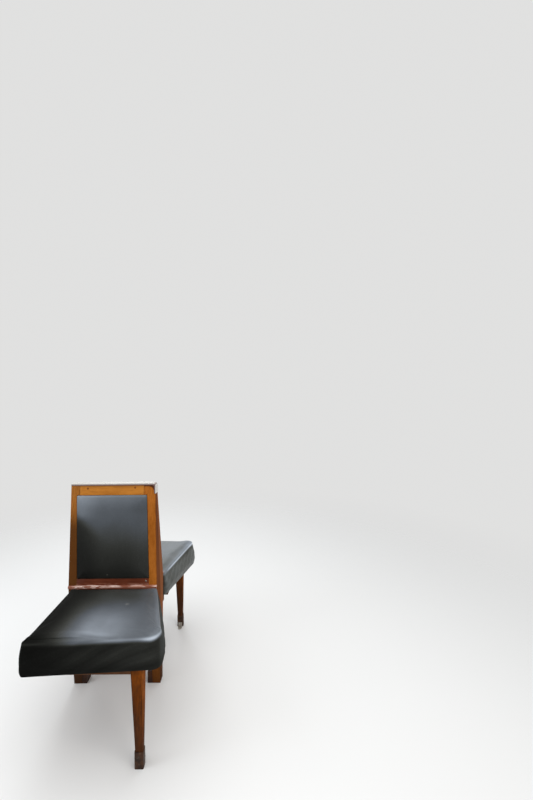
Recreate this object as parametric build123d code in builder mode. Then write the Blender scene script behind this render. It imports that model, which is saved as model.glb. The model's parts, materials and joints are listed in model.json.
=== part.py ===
"""Two-way wooden seat of an old tram.

A double backrest stands on its stiles in the middle, with one upholstered seat in front of it
and a mirrored one behind it. The seats rest on tapered legs at the aisle and on ledgers at the wall.

X runs from the wall (negative) to the aisle (positive), Y along the vehicle and Z up.
The origin is on the floor, under the middle of the seat. Lengths are in millimetres.
Only the front half is drawn: every rear piece is its mirror image in the XZ plane.
"""
import os
from math import atan2, cos

from build123d import *

os.makedirs("parts", exist_ok=True)

# Overall sizes
overall_width = 462.0  # from the wall to the seats' aisle corners
overall_length = 862.0  # over both seats
seat_underside = 334.0
seat_top = 447.0  # at the front of the cushion
wall = -overall_width / 2
aisle_limit = overall_width / 2

# Backrest, half its thickness at the floor, the knee and the top
back_height = 861.0
knee_height = 430.0
foot_depth = 21.0
knee_depth = 60.0
top_depth = 14.0
knee_radius = 70.0
top_corner_radius = 14.0

# Backrest, front view
back_aisle_inset = 90.0  # from the seats' aisle corners, at the knee and below
back_aisle_inset_top = 101.0
wall_stile_width = 34.0  # at the seat
wall_stile_width_top = 24.0  # at the opening's top
aisle_stile_width = 33.0
aisle_stile_width_top = 37.0
top_rail_height = 47.0
bottom_rail_top = 472.0
bottom_rail_foot = 424.0
haunch = 13.0  # the stile heads are this much wider than the stiles

# Panels in the backrest
lip = 13.0  # wood left in front of the rebate
rebate = 8.0
board_thickness = 4.0
joint_gap = 0.3
pad_gap = 1.0
pad_proud = 3.0
pad_edge = 4.0

# Rounded moulding between the bottom rail and the cushion
bead_height = 11.0
bead_depth = 7.0
bead_foot = 434.0

# Metal capping
cap_sheet = 1.5
cap_gap = 0.25
cap_lip = 6.0
cap_wrap = 41.0  # how far it runs down the aisle edge

# Cushion, its front edge running back towards the aisle and its top rising to the front
cushion_wall_gap = 12.0
aisle_corner_setback = 28.0  # from the foremost point, at the wall
cushion_overhang = 13.0  # past the backrest's aisle edge, at the back
cushion_back_gap = 0.5  # to the moulding
aisle_corner_radius = 28.0
wall_corner_radius = 13.0
back_corner_radius = 18.0
seat_rake = 12.0  # the cushion is this much lower at the back
crown_radius = 12.0  # less than the corners' radii

# Seat board, let up into the cushion
skirt = 4.0
seat_board_thickness = 16.0
skirt_gap = 0.3

# Bearers, ledgers and battens under the seat boards
bearer_height = 34.0
bearer_front = 97.0  # how far the bearer's front face is from the middle
bearer_aisle_inset = 6.0
ledger_width = 22.0
ledger_height = 36.0
ledger_front_inset = 24.0
ledger_nose = 8.0  # height left in front of the bevel
ledger_bevel = 42.0  # along the ledger's foot
batten_thickness = 14.0
side_batten_width = 32.0
side_batten_inset = 17.0  # from the middle of the leg's head towards the wall
wall_screw_radius = 3.0
wall_screw_spacing = 200.0
wall_screw_sink_radius = 6.0

# Legs near the cushions' aisle corners
leg_head = (44.0, 32.0)  # size along X and Y
leg_foot = (26.0, 22.0)
leg_aisle_inset = 55.0
leg_front_inset = 29.0
leg_foot_splay = 2.0  # the foot stands this much nearer the aisle than the head
shoe_wall = 2.5
shoe_height = 57.0
shoe_sole = 3.0
shoe_gap = 0.2

# Floor tabs at the legs
tab_width = 20.0
tab_length = 27.0
tab_sheet = 2.5
tab_upright = 22.0
tab_hole_radius = 2.75
tab_hole_inset = 11.0

# Blocks beside the stiles' feet
block_width = 21.0
block_height = 48.0

# Rounding and bevel of the wood's edges
eased_radius = 2.0
opening_bevel = 1.5

# The raked front face of the backrest, from the knee up
rake = atan2(knee_depth - top_depth, back_height - knee_height)
face_plane = Plane(
    origin=(0, -knee_depth, knee_height),
    x_dir=(1, 0, 0),
    z_dir=(0, -(back_height - knee_height), knee_depth - top_depth),
)


def depth_at(height):
    """Half the backrest's thickness at a height above or below the knee."""
    if height >= knee_height:
        share = (height - knee_height) / (back_height - knee_height)
        return knee_depth + (top_depth - knee_depth) * share
    return foot_depth + (knee_depth - foot_depth) * height / knee_height


def aisle_edge(height):
    """X of the backrest's aisle edge."""
    share = max(0.0, (height - knee_height) / (back_height - knee_height))
    return aisle_limit - back_aisle_inset - (back_aisle_inset_top - back_aisle_inset) * share


def up_slope(height):
    """Distance from the knee along the raked face."""
    return (height - knee_height) / cos(rake)


opening_top = back_height - top_rail_height
opening_corners = (
    (wall + wall_stile_width, bottom_rail_top),
    (aisle_edge(bottom_rail_top) - aisle_stile_width, bottom_rail_top),
    (aisle_edge(opening_top) - aisle_stile_width_top, opening_top),
    (wall + wall_stile_width_top, opening_top),
)


def front_top_edge(member):
    """Edge where a frame member's front face meets its top."""
    return member.faces().sort_by(Axis.Z)[-1].edges().sort_by(Axis.Y)[0]


def write(piece, name):
    """Label one piece and write it as its own file."""
    piece.label = name
    export_step(piece, f"parts/{name}.step")


def write_pair(piece, name):
    """Write a front piece and its mirrored rear twin."""
    write(piece, f"front_{name}")
    write(mirror(piece, about=Plane.XZ), f"rear_{name}")


# Side profile of the front half of the backrest, as a bar across the whole seat
with BuildPart() as back_profile:
    with BuildSketch(Plane.YZ.offset(wall)) as side_view:
        with BuildLine():
            Polyline(
                (0, 0),
                (-foot_depth, 0),
                (-knee_depth, knee_height),
                (-top_depth, back_height),
                (0, back_height),
                close=True,
            )
        make_face()
        fillet(side_view.vertices().sort_by(Axis.X)[0], radius=knee_radius)
    extrude(amount=overall_width)

# Space behind the lip that the panel board needs, and the bevel at the front of the opening
with BuildPart() as board_pocket:
    with BuildSketch(face_plane.offset(-lip)) as pocket_view:
        with BuildLine():
            Polyline(*[(x, up_slope(z)) for x, z in opening_corners], close=True)
        make_face()
        offset(amount=rebate + joint_gap, kind=Kind.INTERSECTION)
    extrude(amount=-knee_depth)
    with BuildSketch(face_plane.offset(-opening_bevel)):
        with BuildLine():
            Polyline(*[(x, up_slope(z)) for x, z in opening_corners], close=True)
        make_face()
    extrude(amount=2 * opening_bevel, taper=-45)

# Aisle stile, from the floor to the rounded top corner
with BuildPart() as aisle_stile:
    inner_foot, inner_top = opening_corners[1][0], opening_corners[2][0]
    with BuildSketch(Plane.XZ) as stile_view:
        with BuildLine():
            Polyline(
                (inner_foot, 0),
                (aisle_edge(0), 0),
                (aisle_edge(0), knee_height),
                (aisle_edge(back_height), back_height),
                (inner_top - haunch, back_height),
                (inner_top - haunch, opening_top),
                (inner_top, opening_top),
                (inner_foot, bottom_rail_top),
                close=True,
            )
        make_face()
        top_corner = stile_view.vertices().group_by(Axis.Y)[-1].sort_by(Axis.X)[-1]
        fillet(top_corner, radius=top_corner_radius)
    extrude(amount=knee_depth)
    add(back_profile.part, mode=Mode.INTERSECT)
    aisle_faces = aisle_stile.faces().sort_by(Axis.X)[-2:]
    front_edges = [face.edges().sort_by(Axis.Y)[0] for face in aisle_faces]
    fillet(front_edges, radius=eased_radius)
    add(board_pocket.part, mode=Mode.SUBTRACT)
write_pair(aisle_stile.part, "aisle_stile")

# Wall stile, straight against the wall
with BuildPart() as wall_stile:
    with BuildSketch(Plane.XZ):
        with BuildLine():
            Polyline(
                (wall, 0),
                (wall + wall_stile_width, 0),
                (wall + wall_stile_width, bottom_rail_top),
                (wall + wall_stile_width_top, opening_top),
                (wall + wall_stile_width_top + haunch, opening_top),
                (wall + wall_stile_width_top + haunch, back_height),
                (wall, back_height),
                close=True,
            )
        make_face()
    extrude(amount=knee_depth)
    add(back_profile.part, mode=Mode.INTERSECT)
    fillet(front_top_edge(wall_stile), radius=eased_radius)
    add(board_pocket.part, mode=Mode.SUBTRACT)
write_pair(wall_stile.part, "wall_stile")

# Top rail, between the stile heads
with BuildPart() as top_rail:
    with BuildSketch(Plane.XZ):
        with BuildLine():
            Polyline(
                (wall + wall_stile_width_top + haunch, opening_top),
                (opening_corners[2][0] - haunch, opening_top),
                (opening_corners[2][0] - haunch, back_height),
                (wall + wall_stile_width_top + haunch, back_height),
                close=True,
            )
        make_face()
    extrude(amount=knee_depth)
    add(back_profile.part, mode=Mode.INTERSECT)
    fillet(front_top_edge(top_rail), radius=eased_radius)
    add(board_pocket.part, mode=Mode.SUBTRACT)
write_pair(top_rail.part, "top_rail")

# Bottom rail, between the stiles at the height of the cushion
with BuildPart() as bottom_rail:
    with BuildSketch(Plane.XZ):
        with BuildLine():
            Polyline(
                (opening_corners[0][0], bottom_rail_foot),
                (opening_corners[1][0], bottom_rail_foot),
                (opening_corners[1][0], bottom_rail_top),
                (opening_corners[0][0], bottom_rail_top),
                close=True,
            )
        make_face()
    extrude(amount=knee_depth)
    add(back_profile.part, mode=Mode.INTERSECT)
    add(board_pocket.part, mode=Mode.SUBTRACT)
write_pair(bottom_rail.part, "bottom_rail")

# Thin panel board in the rebate
with BuildPart() as back_board:
    with BuildSketch(face_plane.offset(-lip - joint_gap)):
        with BuildLine():
            Polyline(*[(x, up_slope(z)) for x, z in opening_corners], close=True)
        make_face()
        offset(amount=rebate, kind=Kind.INTERSECTION)
    extrude(amount=-board_thickness)
write_pair(back_board.part, "back_board")

# Upholstered back pad, in the opening and a little proud of the wood
with BuildPart() as back_pad:
    with BuildSketch(face_plane.offset(-lip)):
        with BuildLine():
            Polyline(*[(x, up_slope(z)) for x, z in opening_corners], close=True)
        make_face()
        offset(amount=-pad_gap, kind=Kind.INTERSECTION)
    extrude(amount=lip + pad_proud)
    fillet(back_pad.faces().sort_by(Axis.Y)[0].edges(), radius=pad_edge)
write_pair(back_pad.part, "back_pad")

# Rounded moulding across the stiles, above the cushion
with BuildPart() as bead:
    bead_back = depth_at(bead_foot)
    with BuildSketch(Plane.YZ.offset(wall + joint_gap)) as bead_view:
        with Locations((-bead_back, bead_foot)):
            Rectangle(bead_depth, bead_height, align=(Align.MAX, Align.MIN))
        nose = bead_view.vertices().group_by(Axis.X)[0].sort_by(Axis.Y)[-1]
        fillet(nose, radius=bead_depth - joint_gap)
        with Locations((-bead_back, bead_foot)):
            Rectangle(bead_depth, bead_height, align=(Align.MIN, Align.MIN))
    extrude(amount=aisle_edge(bead_foot) - wall - 2 * joint_gap)
    add(back_profile.part, mode=Mode.SUBTRACT)
write_pair(bead.part, "bead")

# Folded metal capping along the top and down the aisle edge
wrap_foot = back_height - cap_wrap


def tapered_bar(margin):
    """Bar across the seat with the backrest's taper above the knee, grown by a margin."""
    with BuildPart() as bar:
        with BuildSketch(Plane.YZ.offset(wall - cap_lip)):
            with BuildLine():
                Polyline(
                    (-knee_depth - margin, knee_height),
                    (knee_depth + margin, knee_height),
                    (top_depth + margin, back_height),
                    (top_depth + margin, back_height + knee_height),
                    (-top_depth - margin, back_height + knee_height),
                    (-top_depth - margin, back_height),
                    close=True,
                )
            make_face()
        extrude(amount=overall_width)
    return bar.part


with BuildPart() as cap_core:
    with BuildSketch(Plane.XZ) as core_view:
        with BuildLine():
            Polyline(
                (wall - cap_lip, wrap_foot - cap_lip),
                (aisle_edge(wrap_foot - cap_lip) + cap_gap, wrap_foot - cap_lip),
                (aisle_edge(back_height) + cap_gap, back_height + cap_gap),
                (wall - cap_lip, back_height + cap_gap),
                close=True,
            )
        make_face()
        core_corner = core_view.vertices().group_by(Axis.Y)[-1].sort_by(Axis.X)[-1]
        fillet(core_corner, radius=top_corner_radius + cap_gap)
    extrude(amount=knee_depth, both=True)
    add(tapered_bar(cap_gap), mode=Mode.INTERSECT)

with BuildPart() as capping:
    band_line = (cap_gap + cap_sheet - cap_lip) / 2
    with BuildSketch(Plane.XZ):
        with BuildLine():
            FilletPolyline(
                (wall + joint_gap, back_height + band_line),
                (aisle_edge(back_height) + band_line, back_height + band_line),
                (aisle_edge(wrap_foot) + band_line, wrap_foot),
                radius=top_corner_radius + band_line,
            )
        trace(line_width=cap_gap + cap_sheet + cap_lip)
    extrude(amount=knee_depth, both=True)
    add(tapered_bar(cap_gap + cap_sheet), mode=Mode.INTERSECT)
    add(cap_core.part, mode=Mode.SUBTRACT)
write(capping.part, "capping")

# Cushion plan: one circle for each rounded corner, joined by tangent lines
cushion_front = overall_length / 2
cushion_back = depth_at(bead_foot) + bead_depth + cushion_back_gap
cushion_wall_side = wall + cushion_wall_gap
cushion_back_end = aisle_edge(0) + cushion_overhang
corner_circles = (
    # x of the centre, y of the centre, radius
    (
        aisle_limit - aisle_corner_radius,
        aisle_corner_radius + aisle_corner_setback - cushion_front,
        aisle_corner_radius,
    ),
    (cushion_wall_side + wall_corner_radius, wall_corner_radius - cushion_front, wall_corner_radius),
    (cushion_wall_side + back_corner_radius, -cushion_back - back_corner_radius, back_corner_radius),
    (cushion_back_end - back_corner_radius, -cushion_back - back_corner_radius, back_corner_radius),
)


def cushion_plan(height, inset):
    """Plan of the cushion, drawn in by an inset."""
    with BuildSketch(Plane.XY.offset(height)) as plan:
        for x, y, radius in corner_circles:
            with Locations((x, y)):
                Circle(radius - inset)
        make_hull()
    return plan.sketch


# Plywood seat board, inside the leather's skirt
with BuildPart() as seat_board:
    add(cushion_plan(seat_underside, skirt + skirt_gap))
    extrude(amount=seat_board_thickness)
write_pair(seat_board.part, "seat_board")

# Leather cushion with a raked top and rounded edges, its skirt round the seat board
with BuildPart() as cushion:
    add(cushion_plan(seat_underside, 0))
    extrude(amount=2 * (seat_top - seat_underside))
    with BuildSketch(Plane.YZ.offset(wall)):
        with BuildLine():
            Polyline(
                (-cushion_front, seat_top),
                (-cushion_back, seat_top - seat_rake),
                (-cushion_back, seat_underside),
                (-cushion_front, seat_underside),
                close=True,
            )
        make_face()
    extrude(amount=overall_width, mode=Mode.INTERSECT)
    fillet(cushion.faces().sort_by(Axis.Z)[-1].edges(), radius=crown_radius)
    add(cushion_plan(seat_underside, skirt))
    extrude(amount=seat_board_thickness + skirt_gap, mode=Mode.SUBTRACT)
write_pair(cushion.part, "cushion")

# Bearer screwed to the stiles, under the back of the seat board
with BuildPart() as bearer:
    bearer_foot = seat_underside - bearer_height
    with BuildSketch(Plane.YZ.offset(wall)):
        with BuildLine():
            Polyline(
                (-depth_at(seat_underside), seat_underside),
                (-bearer_front, seat_underside),
                (-bearer_front, bearer_foot),
                (-depth_at(bearer_foot), bearer_foot),
                close=True,
            )
        make_face()
    extrude(amount=aisle_edge(0) - wall - bearer_aisle_inset)
    fillet(bearer.edges().filter_by(Axis.X).group_by(Axis.Y)[0], radius=eased_radius)
write_pair(bearer.part, "bearer")

# Ledger on the wall, bevelled at the front, with two countersunk screw holes
with BuildPart() as ledger:
    ledger_front = overall_length / 2 - ledger_front_inset
    ledger_middle = -(ledger_front + bearer_front) / 2
    ledger_foot = seat_underside - ledger_height
    with BuildSketch(Plane.YZ.offset(wall)):
        with BuildLine():
            Polyline(
                (-bearer_front, seat_underside),
                (-ledger_front, seat_underside),
                (-ledger_front, seat_underside - ledger_nose),
                (-ledger_front + ledger_bevel, ledger_foot),
                (-bearer_front, ledger_foot),
                close=True,
            )
        make_face()
    extrude(amount=ledger_width)
    with Locations(Plane.YZ.offset(wall + ledger_width)):
        with Locations((ledger_middle, seat_underside - ledger_height / 2)):
            with GridLocations(wall_screw_spacing, 0, 2, 1):
                CounterSinkHole(wall_screw_radius, wall_screw_sink_radius)
    fillet(ledger.edges().filter_by(Axis.Y).group_by(Axis.X)[-1], radius=eased_radius)
write_pair(ledger.part, "ledger")

# Flat batten from the ledger to the leg's head
leg_head_middle = aisle_limit - leg_aisle_inset - leg_head[0] / 2
leg_wall_face = leg_head_middle - leg_head[0] / 2
leg_front = overall_length / 2 - leg_front_inset
with BuildPart() as cross_batten:
    batten_foot = seat_underside - batten_thickness
    with BuildSketch(Plane.XY.offset(batten_foot)):
        with Locations((wall + ledger_width, -leg_front)):
            Rectangle(
                leg_wall_face - wall - ledger_width, leg_head[1], align=(Align.MIN, Align.MIN)
            )
    extrude(amount=batten_thickness)
    fillet(cross_batten.edges().filter_by(Axis.X), radius=eased_radius)
write_pair(cross_batten.part, "cross_batten")

# Flat batten from the leg's head back to the bearer
with BuildPart() as side_batten:
    leg_back = leg_front - leg_head[1]
    with BuildSketch(Plane.XY.offset(batten_foot)):
        with Locations((leg_head_middle - side_batten_inset, -(leg_back + bearer_front) / 2)):
            Rectangle(side_batten_width, leg_back - bearer_front)
    extrude(amount=batten_thickness)
    fillet(side_batten.edges().filter_by(Axis.Y), radius=eased_radius)
write_pair(side_batten.part, "side_batten")

# Tapered leg, its foot inside the shoe
leg_head_centre = (leg_head_middle, -leg_front + leg_head[1] / 2)
leg_foot_centre = (leg_head_middle + leg_foot_splay, -leg_front + shoe_wall + leg_foot[1] / 2)
with BuildPart() as leg:
    with BuildSketch(Plane.XY.offset(shoe_sole)):
        with Locations(leg_foot_centre):
            RectangleRounded(*leg_foot, radius=eased_radius)
    extrude(amount=shoe_height - shoe_sole)
    with BuildSketch(Plane.XY.offset(shoe_height)):
        with Locations(leg_foot_centre):
            RectangleRounded(*leg_foot, radius=eased_radius)
    with BuildSketch(Plane.XY.offset(seat_underside)):
        with Locations(leg_head_centre):
            RectangleRounded(*leg_head, radius=eased_radius)
    loft()
write_pair(leg.part, "leg")

# Metal shoe, a cup for the leg's foot
with BuildPart() as leg_shoe:
    with BuildSketch(Plane.XY):
        with Locations(leg_foot_centre):
            RectangleRounded(*leg_foot, radius=eased_radius)
        offset(amount=shoe_wall)
    extrude(amount=shoe_height)
    with BuildSketch(Plane.XY.offset(shoe_sole)):
        with Locations(leg_foot_centre):
            RectangleRounded(*leg_foot, radius=eased_radius)
        offset(amount=shoe_gap)
    extrude(amount=shoe_height, mode=Mode.SUBTRACT)
write_pair(leg_shoe.part, "leg_shoe")

# Floor tab, an angle with a round end and one screw hole, behind the shoe
with BuildPart() as floor_tab:
    tab_middle = leg_foot_centre[0]
    shoe_back = leg_foot_centre[1] + leg_foot[1] / 2 + shoe_wall
    with BuildSketch(Plane.XY):
        with Locations((tab_middle, shoe_back)):
            Rectangle(tab_width, tab_length - tab_width / 2, align=(Align.CENTER, Align.MIN))
        with Locations((tab_middle, shoe_back + tab_length - tab_width / 2)):
            Circle(tab_width / 2)
        with Locations((tab_middle, shoe_back + tab_length - tab_hole_inset)):
            Circle(tab_hole_radius, mode=Mode.SUBTRACT)
    extrude(amount=tab_sheet)
    with BuildSketch(Plane.XY):
        with Locations((tab_middle, shoe_back)):
            Rectangle(tab_width, tab_sheet, align=(Align.CENTER, Align.MIN))
    extrude(amount=tab_upright)
write_pair(floor_tab.part, "floor_tab")

# Blocks on the floor against the stiles' feet
block_places = (
    # name, X of the wall side
    ("aisle_foot_block", opening_corners[1][0] - block_width),
    ("wall_foot_block", wall + wall_stile_width),
)
for block_name, block_start in block_places:
    with BuildPart() as foot_block:
        with BuildSketch(Plane.XY):
            with Locations((block_start, 0)):
                Rectangle(block_width, 2 * foot_depth, align=(Align.MIN, Align.CENTER))
        extrude(amount=block_height)
        fillet(foot_block.edges().filter_by(Axis.X).group_by(Axis.Z)[-1], radius=eased_radius)
    write(foot_block.part, block_name)
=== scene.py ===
"""Two-way wooden tram seat in a plain studio: varnished wood, dark leathercloth and metal fittings."""
import json
import math

import bmesh
import bpy
import numpy as np
from mathutils import Matrix, Vector, noise

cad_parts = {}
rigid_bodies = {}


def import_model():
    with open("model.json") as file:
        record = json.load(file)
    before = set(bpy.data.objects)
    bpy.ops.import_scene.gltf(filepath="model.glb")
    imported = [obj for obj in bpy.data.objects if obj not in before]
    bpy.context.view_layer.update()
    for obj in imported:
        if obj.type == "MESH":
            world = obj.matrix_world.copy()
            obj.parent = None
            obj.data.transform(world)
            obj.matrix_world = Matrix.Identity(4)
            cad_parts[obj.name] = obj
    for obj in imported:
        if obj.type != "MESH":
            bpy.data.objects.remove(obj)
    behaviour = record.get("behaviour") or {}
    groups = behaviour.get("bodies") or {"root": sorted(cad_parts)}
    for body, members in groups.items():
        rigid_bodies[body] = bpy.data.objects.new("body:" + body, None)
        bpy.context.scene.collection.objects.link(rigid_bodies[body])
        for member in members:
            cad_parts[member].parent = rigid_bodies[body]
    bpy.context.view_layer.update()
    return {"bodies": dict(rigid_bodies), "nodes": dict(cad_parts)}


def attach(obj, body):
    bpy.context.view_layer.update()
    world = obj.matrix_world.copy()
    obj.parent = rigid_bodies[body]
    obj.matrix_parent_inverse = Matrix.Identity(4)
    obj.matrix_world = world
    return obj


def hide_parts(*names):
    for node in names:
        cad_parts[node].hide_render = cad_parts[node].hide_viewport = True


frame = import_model()
nodes = frame["nodes"]
body = next(iter(frame["bodies"]))
bpy.context.scene.view_settings.view_transform = "Standard"

# The studio: a pale plain floor that fades into a pale surround, one broad lamp overhead, three
# softer ones round the object, and the camera at the height of a standing person's eyes.
floor_radius, fade_start, fade_end = 9.0, 0.7, 3.4
floor_tone = (0.80, 0.797, 0.79, 1)
surround_tone = (0.75, 0.75, 0.745, 1)
ambient_tone, ambient_strength = (0.94, 0.97, 1.0, 1), 0.52


def feed(socket, value):
    """Joins an input to an output, or sets it to a plain value."""
    if isinstance(value, bpy.types.NodeSocket):
        socket.id_data.links.new(value, socket)
    else:
        socket.default_value = value


def fill_in(node, **values):
    """Feeds a node's inputs by name, with _ for a space."""
    for name, value in values.items():
        feed(node.inputs[name.replace("_", " ")], value)


def put(tree, kind, *in_order, **named):
    """Adds a node, its inputs fed in order or by name; lower-case names are its settings."""
    node = tree.nodes.new(kind)
    for name in [name for name in named if name[0].islower()]:
        setattr(node, name, named.pop(name))
    for socket, value in zip(node.inputs, in_order):
        feed(socket, value)
    fill_in(node, **named)
    return node


def arithmetic(operation, *values):
    """A math node fed with outputs or numbers; gives its output."""
    tree = next(value.id_data for value in values if isinstance(value, bpy.types.NodeSocket))
    return put(tree, "ShaderNodeMath", *values, operation=operation).outputs[0]


def ramp(value, low, high, to_low=0.0, to_high=1.0):
    """A smooth step of an output between two limits, each an output or a number."""
    node = put(value.id_data, "ShaderNodeMapRange", value, low, high, to_low, to_high, interpolation_type="SMOOTHSTEP")
    return node.outputs["Result"]


def into_scene(name, data):
    """A new object in the scene, made of a mesh, a lamp or a camera."""
    thing = bpy.data.objects.new(name, data)
    bpy.context.scene.collection.objects.link(thing)
    return thing


def mesh_of(shape, name):
    """The mesh of a shape that is finished."""
    mesh = bpy.data.meshes.new(name)
    shape.to_mesh(mesh)
    shape.free()
    return mesh


floor_shape = bmesh.new()
bmesh.ops.create_circle(floor_shape, cap_ends=True, segments=96, radius=floor_radius)
studio_floor = into_scene("studio_floor", mesh_of(floor_shape, "floor"))

floor_material = bpy.data.materials.new("pale floor")
floor_material.use_nodes = True
tree = floor_material.node_tree
shader = tree.nodes["Principled BSDF"]
fill_in(shader, Base_Color=floor_tone, Roughness=0.9, Specular_IOR_Level=0.2)
place = put(tree, "ShaderNodeTexCoord").outputs["Object"]
distance = put(tree, "ShaderNodeVectorMath", place, operation="LENGTH").outputs["Value"]
clear = put(tree, "ShaderNodeBsdfTransparent").outputs[0]
fading = put(tree, "ShaderNodeMixShader", ramp(distance, fade_start, fade_end), shader.outputs[0], clear)
fill_in(tree.nodes["Material Output"], Surface=fading.outputs[0])
studio_floor.data.materials.append(floor_material)

world = bpy.data.worlds.new("surround")
bpy.context.scene.world = world
world.use_nodes = True
tree = world.node_tree
backdrop = tree.nodes["Background"]
fill_in(backdrop, Color=surround_tone, Strength=1.0)
ambient = put(tree, "ShaderNodeBackground", Color=ambient_tone, Strength=ambient_strength)
ray = put(tree, "ShaderNodeLightPath").outputs
seen = arithmetic("MAXIMUM", ray["Is Camera Ray"], ray["Is Transmission Ray"])
seen = arithmetic("MAXIMUM", seen, ray["Is Glossy Ray"])
choice = put(tree, "ShaderNodeMixShader", seen, ambient.outputs[0], backdrop.outputs[0])
fill_in(tree.nodes["World Output"], Surface=choice.outputs[0])

lamps_aim = Vector((0, 0, 0.45))
for name, place, size, power, colour in (
    ("overhead_lamp", (0.1, -0.2, 3.0), (3.4, 3.8), 60.0, (1.0, 0.985, 0.96)),
    ("far_lamp", (-0.68, 2.9, 2.2), (1.0, 1.9), 24.0, (0.93, 0.97, 1.0)),
    ("side_lamp", (-1.9, -0.7, 1.7), (1.6, 1.0), 16.0, (0.92, 0.96, 1.0)),
    ("near_lamp", (2.2, -1.9, 1.9), (1.6, 1.4), 22.0, (1.0, 0.98, 0.95)),
):
    lamp = bpy.data.lights.new(name, "AREA")
    lamp.shape = "RECTANGLE"
    lamp.size, lamp.size_y = size
    lamp.energy = power
    lamp.color = colour
    stand = into_scene(name, lamp)
    stand.location = place
    stand.rotation_euler = (lamps_aim - Vector(place)).to_track_quat("-Z", "Y").to_euler()

frame_pixels, focal_pixels = 800, 389.1  # the picture's long side and the lens
eye = (0.5377, -1.678, 1.270)
camera = into_scene("camera", bpy.data.cameras.new("camera"))
bpy.context.scene.camera = camera
camera.data.lens = focal_pixels / frame_pixels * camera.data.sensor_width
camera.data.shift_x, camera.data.shift_y = 0.0224, -0.0079
yaw, pitch, roll = (math.radians(angle) for angle in (-0.13, 0.93, -0.60))
ahead = Vector((math.sin(yaw) * math.cos(pitch), math.cos(yaw) * math.cos(pitch), -math.sin(pitch)))
level = Vector((math.cos(yaw), -math.sin(yaw), 0))
above = level.cross(ahead)
across = level * math.cos(roll) + above * math.sin(roll)
upward = above * math.cos(roll) - level * math.sin(roll)
camera.matrix_world = Matrix.Translation(eye) @ Matrix((across, upward, -ahead)).transposed().to_4x4()

# The backrest's frame: stiles from the floor to the top, rails butted between their heads, all of
# planed hardwood under old orange-brown varnish that has darkened at the feet and along the joints.
knee_height, back_height = 0.430, 0.861
aisle_edge, aisle_lean = 0.141, 0.0255  # X of the aisle edge below the knee, and its lean above
joint_at_wall, joint_at_aisle = -0.194, 0.0812  # X of the joints between the top rail and the stiles
joint_line, seam_line = 0.0011, 0.0016  # half widths of the dark lines at joints and between the halves
opening_foot, opening_top = 0.472, 0.814
bead_crown, bead_top = 0.4385, 0.447
shaded_below, unshaded_from = 0.66, 0.79  # heights on the wall stiles: the painted shadow is full below the first and gone above the second
corner_reach = 0.024  # round edge of the painted shade in the corner under the capping's fold
wood_turns = {"X": (0, math.pi / 2, 0), "Y": (math.pi / 2, 0, 0), "Z": (0, 0, 0)}


def linear(level):
    """Linear brightness of a colour value from 0 to 255, for all but the darkest."""
    return ((level / 255 + 0.055) / 1.055) ** 2.4


def tone(*levels):
    """Linear colour from red, green and blue values of 0 to 255."""
    return (*(linear(level) if level > 10 else level / 255 / 12.92 for level in levels), 1.0)


def blend_colours(amount, first, second):
    """Mixes two colours, each an output or an RGBA value."""
    node = put(amount.id_data, "ShaderNodeMix", amount, data_type="RGBA")
    feed(node.inputs[6], first)
    feed(node.inputs[7], second)
    return node.outputs[2]


def times(first, second):
    """Product of two masks."""
    return arithmetic("MULTIPLY", first, second)


def less(mask):
    """The rest of a mask: 1 where it is 0."""
    return arithmetic("SUBTRACT", 1.0, mask)


def past(value, start):
    """How far a value has gone beyond a start, and 0 before it."""
    return arithmetic("MAXIMUM", arithmetic("SUBTRACT", value, start), 0.0)


def line_at(value, centre, half_width):
    """A mask that is 1 along a thin line."""
    away = arithmetic("ABSOLUTE", arithmetic("SUBTRACT", value, centre))
    return ramp(away, half_width, half_width * 0.35)


class Finish:
    """A material in the making: its shader, the place on the object and the colour so far."""

    def __init__(self, name, colour):
        self.material = bpy.data.materials.new(name)
        self.material.use_nodes = True
        self.tree = self.material.node_tree
        self.shader = self.tree.nodes["Principled BSDF"]
        self.place = put(self.tree, "ShaderNodeTexCoord").outputs["Object"]
        self.x, self.y, self.z = put(self.tree, "ShaderNodeSeparateXYZ", self.place).outputs
        self.colour = colour

    def tint(self, mask, share, colour):
        """Lays a share of a colour over the one so far, where the mask is."""
        self.colour = blend_colours(times(mask, share), self.colour, colour)

    def emboss(self, height, strength, depth):
        """Gives the surface a fine relief."""
        bump = put(self.tree, "ShaderNodeBump", Height=height, Strength=strength, Distance=depth)
        fill_in(self.shader, Normal=bump.outputs[0])

    def done(self, **values):
        """Feeds the shader its colour and other values; gives the material."""
        fill_in(self.shader, Base_Color=self.colour, **values)
        return self.material


def open_group(name, kind, inputs, outputs):
    """A new node group with its sockets; gives it with what comes in and the node that it ends in."""
    group = bpy.data.node_groups.new(name, kind)
    for way, sockets in (("INPUT", inputs), ("OUTPUT", outputs)):
        for label, content in sockets.items():
            group.interface.new_socket(label, in_out=way, socket_type=f"NodeSocket{content}")
    return group, group.nodes.new("NodeGroupInput").outputs, group.nodes.new("NodeGroupOutput")


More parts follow.
